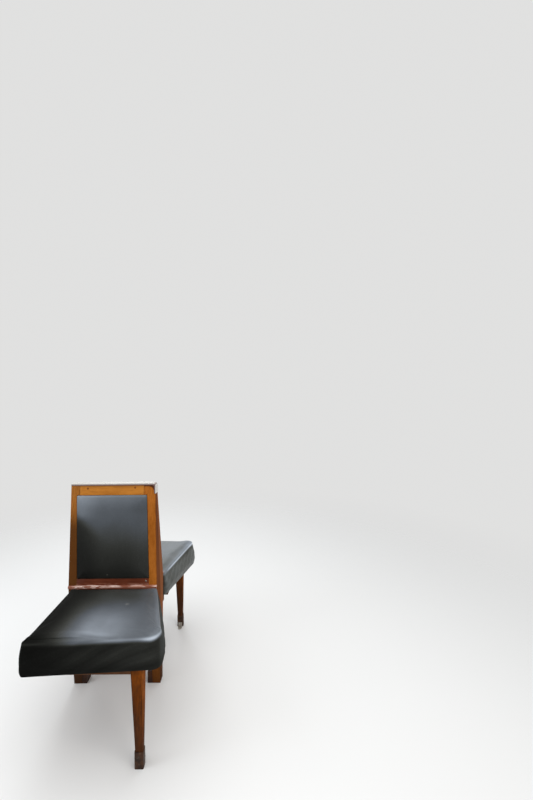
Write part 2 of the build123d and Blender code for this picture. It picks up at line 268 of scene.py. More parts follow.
def build_grain():
    """Shader group for sawn wood: rings, fibres, pores and clouds, with the grain along Z."""
    inputs = {"Vector": "Vector", "Ring scale": "Float", "Waviness": "Float"}
    outputs = {"Rings": "Float", "Fibres": "Float", "Pores": "Float", "Clouds": "Float"}
    group, given, result = open_group("wood grain", "ShaderNodeTree", inputs, outputs)

    def stretched(along):
        return put(group, "ShaderNodeVectorMath", given["Vector"], (1, 1, along), operation="MULTIPLY").outputs[0]

    def cloud(along, **values):
        return put(group, "ShaderNodeTexNoise", Vector=stretched(along), **values).outputs["Fac"]

    warp = put(group, "ShaderNodeTexNoise", Vector=stretched(0.20), Scale=11.0, Detail=2.0).outputs["Color"]
    shift = put(group, "ShaderNodeVectorMath", operation="SCALE", Vector=warp, Scale=given["Waviness"])
    bent = put(group, "ShaderNodeVectorMath", stretched(0.05), shift.outputs[0], operation="ADD")
    rings = put(
        group, "ShaderNodeTexWave", wave_type="RINGS", rings_direction="Z", Vector=bent.outputs[0],
        Scale=given["Ring scale"], Distortion=1.4, Detail=3.0, Detail_Scale=1.4,
    )
    fill_in(
        result,
        Rings=rings.outputs["Fac"],
        Fibres=cloud(0.022, Scale=420.0, Detail=3.0, Roughness=0.65),
        Pores=ramp(cloud(0.045, Scale=820.0, Detail=1.0), 0.61, 0.73),
        Clouds=cloud(0.40, Scale=13.0, Detail=3.0, Roughness=0.6),
    )
    return group


def build_patches():
    """Shader group for uneven wear: one mask from noise, between two levels."""
    inputs = {"Vector": "Vector", "Scale": "Float", "Low": "Float", "High": "Float"}
    group, given, result = open_group("uneven wear", "ShaderNodeTree", inputs, {"Mask": "Float"})
    specks = put(
        group, "ShaderNodeTexNoise", Vector=given["Vector"], Scale=given["Scale"], Detail=4.0, Roughness=0.62
    )
    fill_in(result, Mask=ramp(specks.outputs["Fac"], given["Low"], given["High"]))
    return group


def build_floor_dirt():
    """Shader group for the dirt that mops and boots leave near the floor."""
    inputs = {"Vector": "Vector", "Reach": "Float", "Amount": "Float"}
    group, given, result = open_group("floor dirt", "ShaderNodeTree", inputs, {"Mask": "Float"})
    height = put(group, "ShaderNodeSeparateXYZ", given["Vector"]).outputs["Z"]
    splash = put(group, "ShaderNodeTexNoise", Vector=given["Vector"], Scale=46.0, Detail=4.0)
    rise = arithmetic("MULTIPLY_ADD", splash.outputs["Fac"], 0.07, height)
    fill_in(result, Mask=times(ramp(rise, given["Reach"], 0.035), given["Amount"]))
    return group


grain_group, patches_group, dirt_group = build_grain(), build_patches(), build_floor_dirt()


def effect(finish, group, vector, **values):
    """A shader group placed in a finish with its own values; gives its outputs."""
    return put(finish.tree, "ShaderNodeGroup", node_tree=group, Vector=vector, **values).outputs


def mapped(finish, **values):
    """The place on the object, moved, turned or stretched."""
    return put(finish.tree, "ShaderNodeMapping", Vector=finish.place, **values).outputs[0]


def uneven(finish, scale, low, high, stretch=(1, 1, 1)):
    """The uneven-wear mask."""
    return effect(finish, patches_group, mapped(finish, Scale=stretch), Scale=scale, Low=low, High=high)["Mask"]


def near_floor(finish, reach, amount):
    """The floor-dirt mask."""
    return effect(finish, dirt_group, finish.place, Reach=reach, Amount=amount)["Mask"]


def wood(name, along, dark, light, offset, rings=95.0, roughness=0.36, coat=0.04, shine=0.12):
    """A wood finish with its grain along one axis."""
    timber = Finish(name, dark)
    turned = mapped(timber, Location=offset, Rotation=wood_turns[along])
    grain = effect(timber, grain_group, turned, Ring_scale=rings, Waviness=0.035)
    shade = times(grain["Rings"], 0.26)
    shade = arithmetic("MULTIPLY_ADD", grain["Fibres"], 0.50, shade)
    shade = arithmetic("MULTIPLY_ADD", grain["Clouds"], 0.85, shade)
    timber.tint(ramp(shade, 0.48, 1.12), 1.0, light)
    timber.tint(grain["Pores"], 0.35, (*(part * 0.4 for part in dark[:3]), 1))
    timber.emboss(arithmetic("MULTIPLY_ADD", grain["Pores"], -0.8, grain["Fibres"]), 0.20, 0.0004)
    gloss = ramp(grain["Clouds"], 0.3, 0.7, roughness - 0.06, roughness + 0.12)
    fill_in(timber.shader, Roughness=gloss, Specular_IOR_Level=shine, Coat_Weight=coat, Coat_Roughness=0.22)
    return timber


def dress(node_name, material):
    """Gives a CAD node its finish."""
    piece = nodes[node_name]
    piece.data.materials.clear()
    piece.data.materials.append(material)


# dark colour for real joint lines and for painted shade lines
grime_and_shade = tone(42, 24, 14)


def age_stile(stile, joint, seam_share):
    """The dark lines at a stile's joint with the top rail and where it meets its twin."""
    at_rail = ramp(stile.z, opening_top - 0.004, opening_top)
    stile.tint(times(line_at(stile.x, joint, joint_line), at_rail), 0.8, grime_and_shade)
    stile.tint(line_at(stile.y, 0.0, seam_line), seam_share, grime_and_shade)


def shade_under_capping(finish):
    """A mask along the top edge, for the painted shade under the capping."""
    return ramp(finish.z, back_height - 0.018, back_height - 0.004)


for row, end in enumerate(("front", "rear")):
    # aisle stile: red-brown aisle face with painted shade on the front half and painted light on the rear half, dark
    # line where the two stiles meet, painted shade along the outer corner, under the capping and in the corner under
    # its fold, dirty foot
    stile = wood(
        f"varnish on the {end} aisle stile", "Z", tone(132, 70, 10), tone(188, 113, 44),
        (0.13, 0.21 + 0.4 * row, 0.3), coat=0.0, shine=0.05,
    )
    edge = arithmetic("MULTIPLY_ADD", past(stile.z, knee_height), aisle_lean, stile.x)
    on_aisle_face = ramp(edge, aisle_edge - 0.0016, aisle_edge - 0.0004)
    # the aisle face: painted shade on the front half, painted light on the rear half
    stile.tint(on_aisle_face, 0.78, (tone(86, 49, 35), tone(124, 77, 54))[row])
    # painted shade along the rounded outer corner, in patches
    corner = times(ramp(edge, aisle_edge - 0.0050, aisle_edge - 0.0018), less(on_aisle_face))
    stile.tint(times(corner, uneven(stile, 55.0, 0.40, 0.62, (1, 1, 0.25))), 0.55, tone(84, 42, 18))
    age_stile(stile, joint_at_aisle, 0.6)
    # painted shade under the capping
    stile.tint(shade_under_capping(stile), 0.45, tone(84, 44, 20))
    # painted shade in the corner under the capping's fold, with a round edge, standing in for a rounded corner
    past_side = past(edge, aisle_edge - 0.0065 - corner_reach)
    past_top = past(stile.z, back_height - 0.0105 - corner_reach)
    from_round = arithmetic("SQRT", arithmetic("MULTIPLY_ADD", past_side, past_side, times(past_top, past_top)))
    painted_corner_shade = ramp(from_round, corner_reach - 0.0015, corner_reach + 0.0015)
    painted_corner_shade = times(painted_corner_shade, ramp(stile.z, back_height - 0.040, back_height - 0.032))
    stile.tint(painted_corner_shade, 0.85, tone(62, 32, 18))
    stile.tint(near_floor(stile, 0.30, 0.75), 1.0, tone(42, 24, 12))
    dress(f"{end}_aisle_stile", stile.done(Roughness=ramp(on_aisle_face, 0.0, 1.0, 0.42, 0.95)))

    # wall stile, a painted shadow darkening its lower part
    stile = wood(
        f"varnish on the {end} wall stile", "Z", tone(121, 70, 18), tone(171, 108, 46),
        (0.31, 0.12 + 0.5 * row, 0.7), shine=0.07,
    )
    # painted shadow over the lower part
    stile.tint(ramp(stile.z, unshaded_from, shaded_below), 0.82, tone(68, 34, 3))
    age_stile(stile, joint_at_wall, 0.85)
    stile.tint(near_floor(stile, 0.30, 0.75), 1.0, tone(42, 24, 12))
    dress(f"{end}_wall_stile", stile.done())

    # top rail, painted shade under the capping, and dark joint lines at its ends
    rail = wood(
        f"varnish on the {end} top rail", "X", tone(148, 84, 22), tone(206, 134, 50), (0.05, 0.37 + 0.3 * row, 0.1)
    )
    # painted shade under the capping
    rail.tint(shade_under_capping(rail), 0.5, tone(104, 58, 24))
    for joint in (joint_at_wall, joint_at_aisle):
        rail.tint(line_at(rail.x, joint, joint_line), 0.8, grime_and_shade)
    dress(f"{end}_top_rail", rail.done())

    # bottom rail, redder and shiny, its lower edge along the moulding paler: partly rubbed, partly a painted glare
    rail = wood(
        f"varnish on the {end} bottom rail", "X", tone(78, 34, 20), tone(128, 66, 42),
        (0.5, 0.11 + 0.3 * row, 0.2), coat=0.12,
    )
    # paler lower edge: rubbed wear and a painted glare
    scuffed_and_glare = times(ramp(rail.z, bead_top + 0.009, bead_top), uneven(rail, 90.0, 0.44, 0.60, (0.3, 1, 1)))
    rail.tint(scuffed_and_glare, 0.45, tone(178, 130, 112))
    # painted shade line along the rail's top, under the pad's edge
    rail.tint(ramp(rail.z, opening_foot - 0.003, opening_foot), 0.8, grime_and_shade)
    dress(f"{end}_bottom_rail", rail.done())

    # moulding above the cushion, paler along its top and streaked whitish toward the wall: partly bare wood rubbed by
    # backs and hands, partly a painted highlight
    bead = wood(
        f"rubbed {end} moulding", "X", tone(96, 48, 34), tone(146, 88, 66),
        (0.2, 0.6 + 0.3 * row, 0.4), roughness=0.38,
    )
    to_wall = ramp(bead.x, 0.02, -0.15)
    rise = arithmetic("MULTIPLY_ADD", to_wall, 0.0045, bead.z)
    # paler top: rubbed bare wood and a painted highlight along the upper shoulder
    bare_and_highlight = times(uneven(bead, 60.0, 0.40, 0.60, (0.35, 1, 1)), ramp(rise, bead_crown, bead_crown + 0.004))
    streak = times(uneven(bead, 240.0, 0.44, 0.58, (0.10, 1, 1)), ramp(to_wall, 0.0, 1.0, 0.6, 1.0))
    bead.tint(bare_and_highlight, 0.5, tone(200, 158, 142))
    bead.tint(bare_and_highlight, streak, tone(240, 226, 218))
    dress(f"{end}_bead", bead.done())

# The metal capping: one strip of sheet folded over the top and down the aisle edge, where hands
# hold on. It is palest down the edge, its top is duller, its lips hold old polish and dirt, and
# dirt with a painted shade darkens the lips' lower edge.
side_start, lip_top, lip_foot = 0.1270, 0.8616, 0.8572  # X of the strip down the edge, Z of the lips

capping = Finish("worn metal capping", tone(190, 187, 183))
scratches = put(
    capping.tree, "ShaderNodeTexNoise", Vector=mapped(capping, Scale=(0.12, 1, 1)),
    Scale=520.0, Detail=3.0, Roughness=0.7,
).outputs["Fac"]
on_side = ramp(capping.x, side_start, side_start + 0.0040)
capping.tint(on_side, 1.0, tone(222, 218, 213))
capping.tint(uneven(capping, 26.0, 0.42, 0.68), 0.30, tone(178, 171, 165))
capping.tint(scratches, 0.14, tone(150, 144, 138))
on_lip, at_foot = ramp(capping.z, lip_top, lip_top - 0.0016), ramp(capping.z, lip_foot + 0.0018, lip_foot)
capping.tint(times(on_lip, less(on_side)), 0.60, tone(150, 128, 122))
# the lips' lower edge: dirt and a painted shade
capping.tint(times(at_foot, less(on_side)), 0.85, tone(92, 62, 60))
capping.emboss(scratches, 0.15, 0.0003)
brushed = ramp(scratches, 0.3, 0.7, 0.50, 0.68)
dress("capping", capping.done(Metallic=0.1, Specular_IOR_Level=0.3, Roughness=brushed))

# The legs: square tapered hardwood legs under the cushions' aisle corners, dark from polish and boots, each foot
# in a black shoe folded from sheet and held by two screws. Painted light on their aisle sides, painted shade
# on their wall-side edges and over the whole rear leg.
leg_aisle_face, leg_taper, boots_reach = 0.1735, 0.075, 0.26

for row, end in enumerate(("front", "rear")):
    # the rear leg's tones are darker than the front's: painted shade
    leg_tones = ((tone(60, 24, 0), tone(138, 71, 9)), (tone(42, 20, 4), tone(96, 50, 16)))[row]
    leg = wood(f"varnish on the {end} leg", "Z", *leg_tones, (0.4, 0.9 + 0.3 * row, 0.1), coat=0.0, shine=0.05)
    # painted light on the leg's aisle side
    aisle_side = ramp(leg.x, leg_aisle_face - 0.007, leg_aisle_face)
    leg.tint(aisle_side, 0.5, tone(158, 92, 46))
    # painted shade along the leg's wall-side edge
    from_wall = arithmetic("MULTIPLY_ADD", leg.z, leg_taper, leg.x)
    leg.tint(ramp(from_wall, 0.1640, 0.1560), 0.5, tone(38, 20, 8))
    leg.tint(uneven(leg, 75.0, 0.40, 0.62, (1, 1, 0.5)), 0.42, tone(48, 26, 10))
    leg.tint(ramp(leg.z, boots_reach, 0.09), 0.7, tone(60, 37, 24))
    leg.tint(uneven(leg, 70.0, 0.60, 0.72, (1, 1, 0.3)), 0.30, tone(150, 92, 50))
    dress(f"{end}_leg", leg.done(Roughness=ramp(aisle_side, 0.0, 1.0, 0.42, 0.95)))

shoe = Finish("black shoe", tone(42, 27, 16))
kicked = uneven(shoe, 120.0, 0.56, 0.70)
dust = uneven(shoe, 40.0, 0.35, 0.75)
shoe.tint(dust, 0.7, tone(92, 61, 42))
shoe.tint(kicked, 0.35, tone(120, 102, 86))
shoe.emboss(kicked, 0.3, 0.0006)
shoe.done(Metallic=0.15, Specular_IOR_Level=0.2, Roughness=ramp(dust, 0.0, 1.0, 0.42, 0.66))
for end in ("front", "rear"):
    dress(f"{end}_leg_shoe", shoe.material)

# The floor tabs: small angles of zinc-plated sheet behind the shoes, bent to a right angle, each
# with one screw hole to the floor.
tab = Finish("plated tab", tone(196, 192, 184))
spangle = put(tab.tree, "ShaderNodeTexVoronoi", Vector=tab.place, Scale=260.0).outputs["Distance"]
stained = uneven(tab, 90.0, 0.45, 0.68)
tab.tint(spangle, 0.35, tone(150, 148, 144))
tab.tint(stained, 0.6, tone(112, 94, 76))
tab.done(Metallic=0.75, Roughness=ramp(stained, 0.0, 1.0, 0.34, 0.6))
for end in ("front", "rear"):
    dress(f"{end}_floor_tab", tab.material)

# The seats' carpentry: plywood seat boards, bearers screwed to the stiles, ledgers at the wall side
# and flat battens between, of plain brown-stained softwood that never saw varnish.
for row, end in enumerate(("front", "rear")):
    for piece, along, dark, light in (
        ("bearer", "X", tone(74, 44, 24), tone(124, 82, 50)),
        ("ledger", "Y", tone(62, 36, 20), tone(108, 70, 42)),
        ("cross_batten", "X", tone(62, 38, 22), tone(112, 74, 46)),
        ("side_batten", "Y", tone(66, 40, 24), tone(116, 78, 48)),
        ("seat_board", "X", tone(120, 88, 56), tone(170, 132, 92)),
        ("back_board", "Z", tone(84, 52, 28), tone(140, 98, 60)),
    ):
        stock = wood(
            f"{end} {piece.replace('_', ' ')} stock", along, dark, light, (0.3, 0.7 * row + 0.2, 0.5),
            roughness=0.62, coat=0.0,
        )
        stock.tint(uneven(stock, 22.0, 0.40, 0.70), 0.5, tone(66, 42, 26))
        dress(f"{end}_{piece}", stock.done())

# The foot blocks: short pieces of hardwood nailed to the floor between the stiles' feet, which
# floor dirt and polish have made dark.
for row, side in enumerate(("aisle", "wall")):
    block = wood(
        f"{side} foot block", "X", tone(44, 25, 14), tone(88, 50, 28), (0.2, 0.4 * row + 0.3, 0.5),
        roughness=0.5, coat=0.05,
    )
    block.tint(near_floor(block, 0.12, 0.7), 1.0, tone(40, 28, 22))
    dress(f"{side}_foot_block", block.done())

# Heads of what holds the pieces together: slotted steel screws in the rails, shoes, tabs, bearers
# and battens, small pins through the capping's lips, and wood plugs over the top rails' screws.
backrest_rake = math.atan2(0.046, back_height - knee_height)
face_foot = -0.060  # Y of the front half's raked face at the knee
out_of_face = Vector((0, -math.cos(backrest_rake), math.sin(backrest_rake)))
leg_front, shoe_middle = -0.402, 0.156
bearer_face, batten_underside = -0.097, 0.320
lip_face = 0.01555  # the capping's lip, from the middle of the backrest


def build_heads():
    """Geometry tree that sets a head on each point, turned to the point's facing and spun at random."""
    inputs = {"Points": "Geometry", "Head": "Object", "Finish": "Material", "Spin": "Float", "Seed": "Int"}
    tree, given, result = open_group("heads on points", "GeometryNodeTree", inputs, {"Heads": "Geometry"})
    head = put(tree, "GeometryNodeObjectInfo", Object=given["Head"])
    facing = put(tree, "GeometryNodeInputNamedAttribute", data_type="FLOAT_VECTOR", Name="facing")
    turn = put(tree, "FunctionNodeAlignRotationToVector", axis="Z", Vector=facing.outputs["Attribute"])
    chance = put(tree, "FunctionNodeRandomValue", data_type="FLOAT", Seed=given["Seed"])
    feed(chance.inputs[3], given["Spin"])
    about = put(tree, "ShaderNodeCombineXYZ", Z=chance.outputs[1])
    spun = put(
        tree, "FunctionNodeRotateRotation", rotation_space="LOCAL",
        Rotation=turn.outputs["Rotation"], Rotate_By=about.outputs[0],
    )
    setting = put(
        tree, "GeometryNodeInstanceOnPoints",
        Points=given["Points"], Instance=head.outputs["Geometry"], Rotation=spun.outputs[0],
    )
    real = put(tree, "GeometryNodeRealizeInstances", setting.outputs["Instances"])
    finished = put(tree, "GeometryNodeSetMaterial", Geometry=real.outputs["Geometry"], Material=given["Finish"])
    fill_in(result, Heads=finished.outputs["Geometry"])
    return tree


heads_tree = build_heads()


def turned_head(name, profile, slot=None, segments=20):
    """A head turned from a profile of (radius, height), with a slot of (width, depth) cut across it."""
    shape = bmesh.new()
    angles = np.arange(segments) * 2 * math.pi / segments
    rings = [
        [shape.verts.new((radius * math.cos(angle), radius * math.sin(angle), height)) for angle in angles]
        for radius, height in profile
    ]
    for lower, upper in zip(rings, rings[1:]):
        for step in range(segments):
            following = (step + 1) % segments
            shape.faces.new((lower[step], lower[following], upper[following], upper[step]))
    shape.faces.new(rings[-1])
    shape.faces.new(rings[0][::-1])
    if slot:
        width, depth = slot
        for side in (-1, 1):
            geometry = shape.verts[:] + shape.edges[:] + shape.faces[:]
            bmesh.ops.bisect_plane(shape, geom=geometry, plane_co=(side * width / 2, 0, 0), plane_no=(1, 0, 0))
        shape.normal_update()
        top = [f for f in shape.faces if f.normal.z > 0.3 and abs(f.calc_center_median().x) < width / 2]
        sunk = bmesh.ops.extrude_face_region(shape, geom=top)
        bmesh.ops.delete(shape, geom=top, context="FACES")
        moved = [v for v in sunk["geom"] if isinstance(v, bmesh.types.BMVert)]
        bmesh.ops.translate(shape, verts=moved, vec=(0, 0, -depth))
    bmesh.ops.recalc_face_normals(shape, faces=shape.faces)
    return bpy.data.objects.new(name, mesh_of(shape, name))


def as_plain_mesh(piece):
    """A new mesh of what a piece's modifiers make of it."""
    return bpy.data.meshes.new_from_object(piece.evaluated_get(bpy.context.evaluated_depsgraph_get()))


def fasten(name, head, places, material, spin=0.0, seed=1):
    """Sets heads at places, each a point and the way it faces, as one plain mesh on the body."""
    points = bpy.data.meshes.new(name)
    points.from_pydata([place for place, _ in places], [], [])
    facing = points.attributes.new("facing", "FLOAT_VECTOR", "POINT")
    facing.data.foreach_set("vector", [part for _, way in places for part in way])
    piece = into_scene(name, points)
    heads = piece.modifiers.new("heads", "NODES")
    heads.node_group = heads_tree
    values = {"Head": head, "Finish": material, "Spin": spin, "Seed": seed}
    for item in heads_tree.interface.items_tree:
        if item.name in values:
            heads[item.identifier] = values[item.name]
    bpy.context.view_layer.update()
    plain = as_plain_mesh(piece)
    piece.modifiers.remove(heads)
    piece.data = plain
    plain.name = name
    if not plain.materials:
        plain.materials.append(material)
    bpy.data.meshes.remove(points)
    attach(piece, body)


def both_ways(places):
    """Places on the front half with their mirror images on the rear half."""
    return places + [((x, -y, z), (i, -j, k)) for (x, y, z), (i, j, k) in places]


def on_rake(x, z):
    """A place on the raked front face, and the way it faces."""
    return (x, face_foot + (z - knee_height) * math.tan(backrest_rake), z), tuple(out_of_face)


steel = Finish("old steel screw", tone(176, 170, 162))
rust = uneven(steel, 900.0, 0.45, 0.62)
steel.tint(rust, 0.6, tone(92, 66, 48))
steel.done(Metallic=0.8, Roughness=ramp(rust, 0.0, 1.0, 0.30, 0.58))
screw_profile = ((0.0036, -0.0010), (0.0036, 0.0001), (0.0030, 0.0005), (0.0016, 0.0008))
screw_head = turned_head("screw_head", screw_profile, (0.0009, 0.0006))
screw_places = [on_rake(0.0950, 0.4610), ((shoe_middle, leg_front + 0.0295, 0.0145), (0, 1, 0))]
screw_places += [((x, bearer_face, 0.317), (0, -1, 0)) for x in (-0.214, 0.106, -0.045)]
screw_places += [
    ((x, y, batten_underside), (0, 0, -1))
    for x, y in ((-0.190, leg_front + 0.016), (0.110, leg_front + 0.016), (0.137, -0.350), (0.137, -0.115))
]
fasten("steel_screws", screw_head, both_ways(screw_places), steel.material, spin=math.pi, seed=4)

blackened = Finish("blackened shoe screw", tone(54, 44, 36))
blackened.tint(uneven(blackened, 700.0, 0.50, 0.66), 0.6, tone(122, 108, 92))
blackened.done(Metallic=0.5, Roughness=0.5)
shoe_places = both_ways([
    ((shoe_middle, leg_front, 0.041), (0, -1, 0)),
    ((shoe_middle + 0.0155, leg_front + 0.0135, 0.041), (1, 0, 0)),
])
fasten("shoe_screws", screw_head, shoe_places, blackened.material, spin=math.pi, seed=5)

pin = Finish("capping pin", tone(198, 188, 172))
pin.tint(uneven(pin, 1200.0, 0.42, 0.62), 0.6, tone(120, 98, 80))
pin.done(Metallic=0.75, Roughness=0.4)
pin_profile = ((0.0013, -0.0004), (0.0013, 0.0001), (0.0009, 0.0006), (0.0004, 0.0008))
pin_head = turned_head("pin_head", pin_profile, segments=12)
pin_places = [((x, -lip_face, 0.8585), (0, -1, 0)) for x in (-0.218, -0.135, -0.050, 0.035, 0.104)]
pin_places += [((0.1288, -lip_face - 0.0030, 0.8290), (0, -1, 0))]
fasten("capping_pins", pin_head, both_ways(pin_places), pin.material, seed=2)

plug = wood("end-grain plug", "X", tone(104, 54, 16), tone(150, 86, 32), (0.0, 0.1, 0.2), rings=240.0)
plug_head = turned_head("plug_head", ((0.0046, -0.0010), (0.0046, 0.00005), (0.0043, 0.00025)), segments=24)
plug_places = both_ways([on_rake(-0.160, 0.8430), on_rake(0.043, 0.8450)])
fasten("top_rail_plugs", plug_head, plug_places, plug.done(), seed=3)
for head in (screw_head, pin_head, plug_head):
    bpy.data.objects.remove(head)

# The back pads: dark leathercloth drawn over thin padding on the panel board and tucked in all
# round the opening. Painted light makes their upper part paler, painted shade their lower part darker.
face_origin = Vector((0, face_foot, knee_height))
up_face = Vector((0, math.sin(backrest_rake), math.cos(backrest_rake)))
pad_gap, pad_corner = 0.0007, 0.0040
leather_grain = 620.0


def build_leather():
    """Shader group for leathercloth: grain height, creases, worn patches and specks."""
    outputs = {"Grain": "Float", "Creases": "Float", "Patches": "Float", "Specks": "Float"}
    group, given, result = open_group(
        "leathercloth", "ShaderNodeTree", {"Vector": "Vector", "Grain scale": "Float"}, outputs
    )

    def cloud(**values):
        return put(group, "ShaderNodeTexNoise", Vector=given["Vector"], **values).outputs["Fac"]

    cells = put(
        group, "ShaderNodeTexVoronoi", feature="DISTANCE_TO_EDGE", Vector=given["Vector"], Scale=given["Grain scale"]
    )
    creases = cloud(Scale=30.0, Detail=5.0, Roughness=0.6, Distortion=1.4)
    fill_in(
        result,
        Grain=ramp(cells.outputs["Distance"], 0.0, 0.28),
        Creases=ramp(arithmetic("ABSOLUTE", arithmetic("SUBTRACT", creases, 0.5)), 0.0, 0.035),
        Patches=cloud(Scale=7.0, Detail=3.0, Roughness=0.5),
        Specks=cloud(Scale=260.0, Detail=2.0),
    )
    return group


leather_group = build_leather()


def leather(name, offset, lively, blue=(0.020, 0.11)):
    """Leathercloth from near black to pale and bluish, its pale bluish end a painted sheen and reflection; gives its
    finish, its grain and how grey it is.
    """
    black = tone(3, 3, 2)
    cloth = Finish(name, black)
    hide = effect(cloth, leather_group, mapped(cloth, Location=offset), Grain_scale=leather_grain)
    cloth.emboss(arithmetic("MULTIPLY_ADD", hide["Creases"], 0.35, hide["Grain"]), 0.30, 0.0004)
    grey = put(cloth.tree, "ShaderNodeAttribute", attribute_name="greyed").outputs["Fac"]
    cloudy = times(grey, ramp(hide["Patches"], 0.30, 0.70, 1 - lively, 1 + lively))
    plain, bluish = (blend_colours(cloudy, black, pale) for pale in (tone(232, 235, 223), tone(223, 234, 248)))
    cloth.colour = blend_colours(ramp(cloudy, *blue), plain, bluish)
    return cloth, hide, grey


def speckle(cloth, hide, grey, share):
    """Lays the fine specks of old leathercloth over a finish, the pale ones fainter where it is dark."""
    pale_share = ramp(grey, 0.0, 0.05, 0.2 * share, share)
    cloth.tint(ramp(hide["Specks"], 0.52, 0.74), pale_share, tone(150, 154, 156))
    cloth.tint(ramp(hide["Specks"], 0.46, 0.28), share * 1.6, tone(18, 20, 19))


def spot_at(finish, centre, outer, inner):
    """A mask that is 1 near a place on the object."""
    away = put(finish.tree, "ShaderNodeVectorMath", finish.place, centre, operation="DISTANCE")
    return ramp(away.outputs["Value"], outer, inner)


def upholster(piece, material, stands_for):
    """Dresses a padded cover and puts it in the place of its CAD node."""
    piece.data.materials.clear()
    piece.data.materials.append(material)
    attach(piece, body)
    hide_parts(stands_for)


def store_levels(piece, levels):
    """Keeps the colour value at each of a cover's points: its dark cloth with painted light and shade."""
    greyed = piece.data.attributes.new("greyed", "FLOAT", "POINT")
    greyed.data.foreach_set("value", (linear(np.clip(levels, 3, 235)) / linear(235.0)).astype(np.float32))


def edge_line(corners, counts):
    """Points and outward normals round corner circles (x, y, radius), from mid corner to mid corner."""
    spread = 2.4  # how much closer the points stand round a corner than along a side
    total = len(corners)
    facing = []
    for here in range(total):
        (ax, ay, ar), (bx, by, br) = corners[here], corners[(here + 1) % total]
        run = math.hypot(bx - ax, by - ay)
        facing.append(math.atan2(by - ay, bx - ax) - math.acos((ar - br) / run))
    points, normals = [], []
    for here in range(total):
        (ax, ay, ar), (bx, by, br) = corners[here], corners[(here + 1) % total]
        out = facing[here]
        turn_a = (out - facing[here - 1]) % (2 * math.pi) / 2
        turn_b = (facing[(here + 1) % total] - out) % (2 * math.pi) / 2
        head = Vector((ax + ar * math.cos(out), ay + ar * math.sin(out)))
        foot = Vector((bx + br * math.cos(out), by + br * math.sin(out)))
        first, line = turn_a * ar * spread, (foot - head).length
        whole = first + line + turn_b * br * spread
        for step in range(counts[here]):
            way = whole * step / counts[here]
            angle = out
            if way < first:
                angle += way / (ar * spread) - turn_a
                point = (ax + ar * math.cos(angle), ay + ar * math.sin(angle))
            elif way < first + line:
                point = head.lerp(foot, (way - first) / line)
            else:
                angle += (way - first - line) / (br * spread)
                point = (bx + br * math.cos(angle), by + br * math.sin(angle))
            points.append(tuple(point))
            normals.append((math.cos(angle), math.sin(angle)))
    return np.array(points), np.array(normals)


def infill(ring, across, along):
    """A grid of points spanned inside a ring of four sides, whose border is the ring."""
    loop = np.vstack([ring, ring[:1]])
    near, right = loop[: across + 1], loop[across : across + along + 1]
    far, left = loop[across + along : 2 * across + along + 1][::-1], loop[2 * across + along :][::-1]
    u = np.linspace(0, 1, across + 1)[None, :, None]
    v = np.linspace(0, 1, along + 1)[:, None, None]
    ruled = (1 - v) * near[None] + v * far[None] + (1 - u) * left[:, None] + u * right[:, None]
    return ruled - (1 - v) * ((1 - u) * near[0] + u * near[-1]) - v * ((1 - u) * far[0] + u * far[-1])


def cover(name, rings, ends, across, along):
    """Closed mesh through rings of points in metres, each end filled by a grid bordered by its ring."""
    size = 2 * (across + along)
    points = [tuple(point) for ring in rings for point in ring]
    faces = [
        (low + step, low + (step + 1) % size, low + size + (step + 1) % size, low + size + step)
        for low in range(0, size * (len(rings) - 1), size)
        for step in range(size)
    ]
    for start, grid in ((0, ends[0]), (size * (len(rings) - 1), ends[1])):
        number = np.zeros((along + 1, across + 1), int)
        number[0, :] = start + np.arange(across + 1)
        number[:, -1] = start + across + np.arange(along + 1)
        number[-1, ::-1] = start + across + along + np.arange(across + 1)
        number[::-1, 0] = start + (2 * across + along + np.arange(along + 1)) % size
        inner = np.arange((along - 1) * (across - 1)).reshape(along - 1, across - 1)
        number[1:-1, 1:-1] = len(points) + inner
        points += [tuple(point) for row_points in grid[1:-1, 1:-1] for point in row_points]
        faces += [
            (int(number[r, c]), int(number[r, c + 1]), int(number[r + 1, c + 1]), int(number[r + 1, c]))
            for r in range(along)
            for c in range(across)
        ]
    mesh = bpy.data.meshes.new(name)
    mesh.from_pydata(points, [], faces)
    shape = bmesh.new()
    shape.from_mesh(mesh)
    bmesh.ops.recalc_face_normals(shape, faces=shape.faces)
    shape.to_mesh(mesh)
    shape.free()
    mesh.shade_smooth()
    return into_scene(name, mesh)


def corners_of(mesh, field="co"):
    """A mesh's points, or their normals, as an array."""
    flat = np.zeros(len(mesh.vertices) * 3)
    mesh.vertices.foreach_get(field, flat)
    return flat.reshape(-1, 3)


def settle(piece, points, side=-1):
    """Puts a cover's points where an array says, mirrored for the rear half, whose side is 1."""
    if side > 0:
        points[:, 1] *= -1
        piece.data.flip_normals()
    piece.data.vertices.foreach_set("co", points.ravel())
    piece.data.update()


